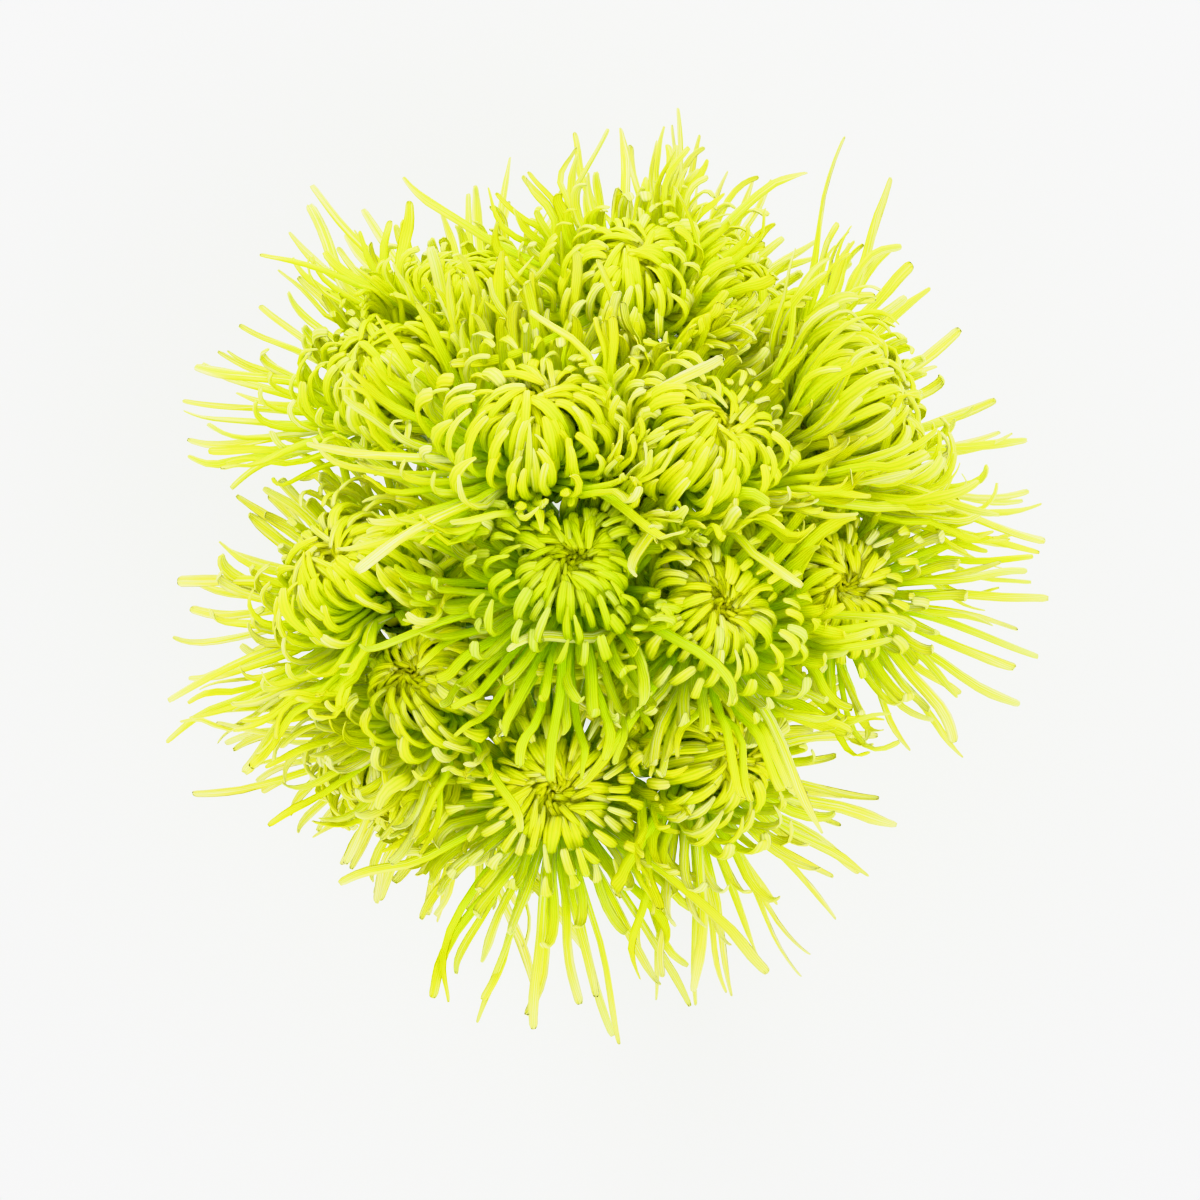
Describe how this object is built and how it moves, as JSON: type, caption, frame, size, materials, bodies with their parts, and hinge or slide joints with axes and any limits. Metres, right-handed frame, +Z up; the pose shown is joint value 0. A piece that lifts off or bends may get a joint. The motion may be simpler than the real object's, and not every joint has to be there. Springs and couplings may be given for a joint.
{
  "type": "hand-tied bunch of spider chrysanthemums",
  "caption": "Dome-shaped bunch of green spider chrysanthemum heads on slender stems, crossed in a spiral and bound with twine, standing on its cut stem ends.",
  "frame": {"origin": "on the surface the stem ends stand on, under the middle of the whole outline", "axes": "+Z up along the bunch, +Y away from the side that the knot of the tie is on, +X to the right of it"},
  "size_m": [0.2654, 0.2794, 0.3511],
  "materials": {
    "floret": "living petal tissue, chartreuse green, satin, paler at the tips",
    "stem": "living stem and leaf, mid green, matt, finely ribbed",
    "twine": "natural jute twine"
  },
  "bodies": {
    "root": {"bloom_01": "floret", "bloom_02": "floret", "bloom_03": "floret", "bloom_04": "floret", "bloom_05": "floret", "bloom_06": "floret", "bloom_07": "floret", "bloom_08": "floret", "bloom_09": "floret", "bloom_10": "floret", "bloom_11": "floret", "bloom_12": "floret", "bloom_13": "floret", "bloom_14": "floret", "bloom_15": "floret", "bloom_16": "floret", "stem_01": "stem", "stem_02": "stem", "stem_03": "stem", "stem_04": "stem", "stem_05": "stem", "stem_06": "stem", "stem_07": "stem", "stem_08": "stem", "stem_09": "stem", "stem_10": "stem", "stem_11": "stem", "stem_12": "stem", "stem_13": "stem", "stem_14": "stem", "stem_15": "stem", "stem_16": "stem", "tie": "twine"}
  },
  "joints": []
}
